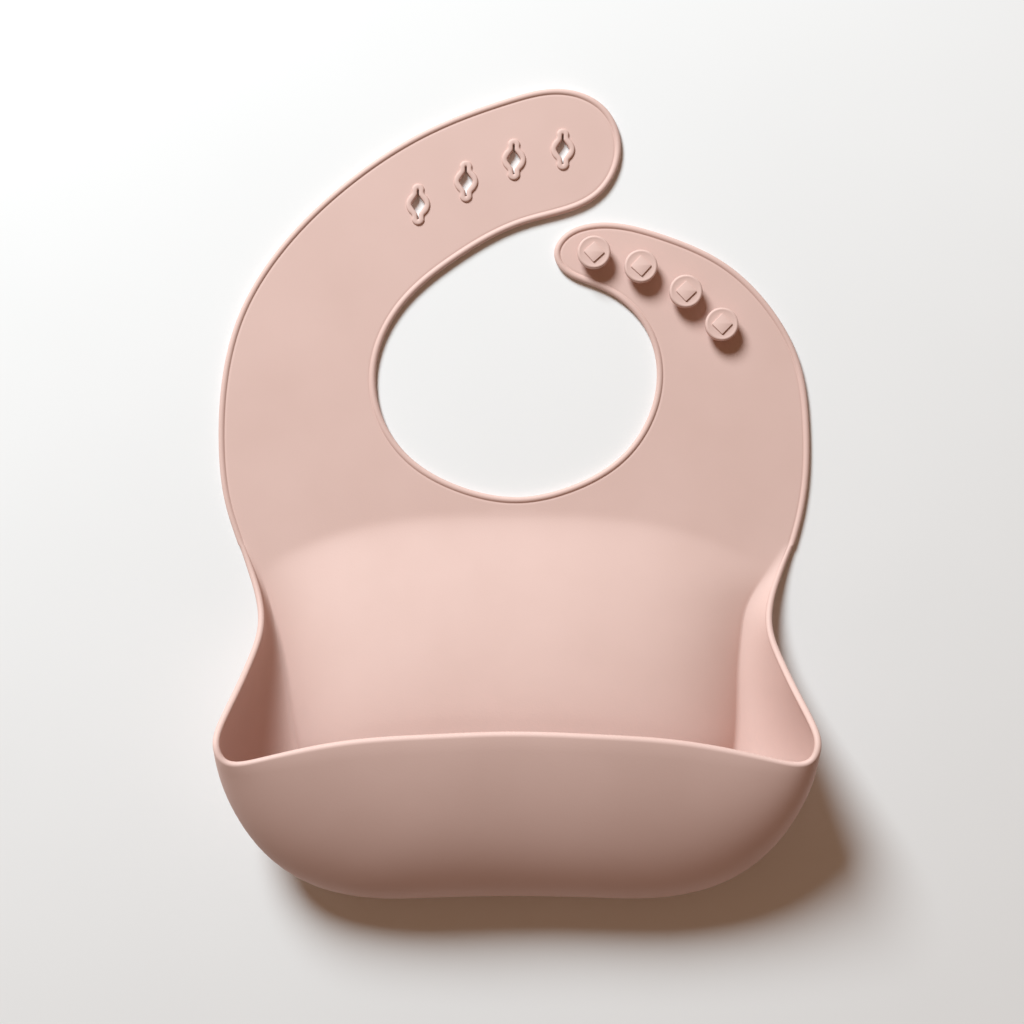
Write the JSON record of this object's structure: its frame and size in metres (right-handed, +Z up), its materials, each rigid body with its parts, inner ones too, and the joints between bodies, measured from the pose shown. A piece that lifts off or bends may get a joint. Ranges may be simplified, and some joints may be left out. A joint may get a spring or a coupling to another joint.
{
  "type": "silicone bib",
  "caption": "Soft silicone baby bib lying on its back: round collar with buttoned and slotted straps, beaded edge, domed chest panel and a deep scoop pocket.",
  "frame": {"origin": "middle of the footprint, on the surface the bib lies on", "axes": "+Z up away from that surface and out of the bib's front, +Y towards the straps, +X towards the button strap's shoulder"},
  "size_m": [0.2212, 0.3012, 0.0484],
  "materials": {
    "silicone": "matt"
  },
  "bodies": {
    "bib_pocket": {"back_panel": "silicone", "left_panel_edge": "silicone", "right_panel_edge": "silicone", "pocket_left_wall": "silicone", "pocket_right_wall": "silicone", "pocket_left_rim": "silicone", "pocket_right_rim": "silicone", "pocket_bottom": "silicone"},
    "pocket_front": {"pocket_front_wall": "silicone", "pocket_lip": "silicone"},
    "collar": {"collar_yoke": "silicone", "left_collar_edge": "silicone", "right_collar_edge": "silicone", "neck_edge": "silicone"},
    "slotted_strap": {"slotted_strap": "silicone", "slotted_strap_edge": "silicone", "slot_rim_1": "silicone", "slot_rim_2": "silicone", "slot_rim_3": "silicone", "slot_rim_4": "silicone"},
    "button_strap": {"button_strap": "silicone", "button_strap_edge": "silicone", "button_1": "silicone", "button_2": "silicone", "button_3": "silicone", "button_4": "silicone"}
  },
  "joints": [
    {"name": "collar_fold", "type": "hinge", "parent": "bib_pocket", "child": "collar", "pos_m": [0, -0.0075, 0.0034], "axis": [1, 0, 0], "range_deg": [0, 80], "stiffness_Nm_per_rad": 0.03},
    {"name": "slotted_strap_curl", "type": "hinge", "parent": "collar", "child": "slotted_strap", "pos_m": [0, 0.024, 0.0034], "axis": [1, 0, 0], "range_deg": [0, 80], "stiffness_Nm_per_rad": 0.02},
    {"name": "button_strap_curl", "type": "hinge", "parent": "collar", "child": "button_strap", "pos_m": [0, 0.024, 0.0034], "axis": [1, 0, 0], "range_deg": [0, 80], "stiffness_Nm_per_rad": 0.02},
    {"name": "pocket_front_flex", "type": "hinge", "parent": "bib_pocket", "child": "pocket_front", "pos_m": [0, -0.1483, 0.012], "axis": [1, 0, 0], "range_deg": [-12, 10], "stiffness_Nm_per_rad": 0.8}
  ]
}
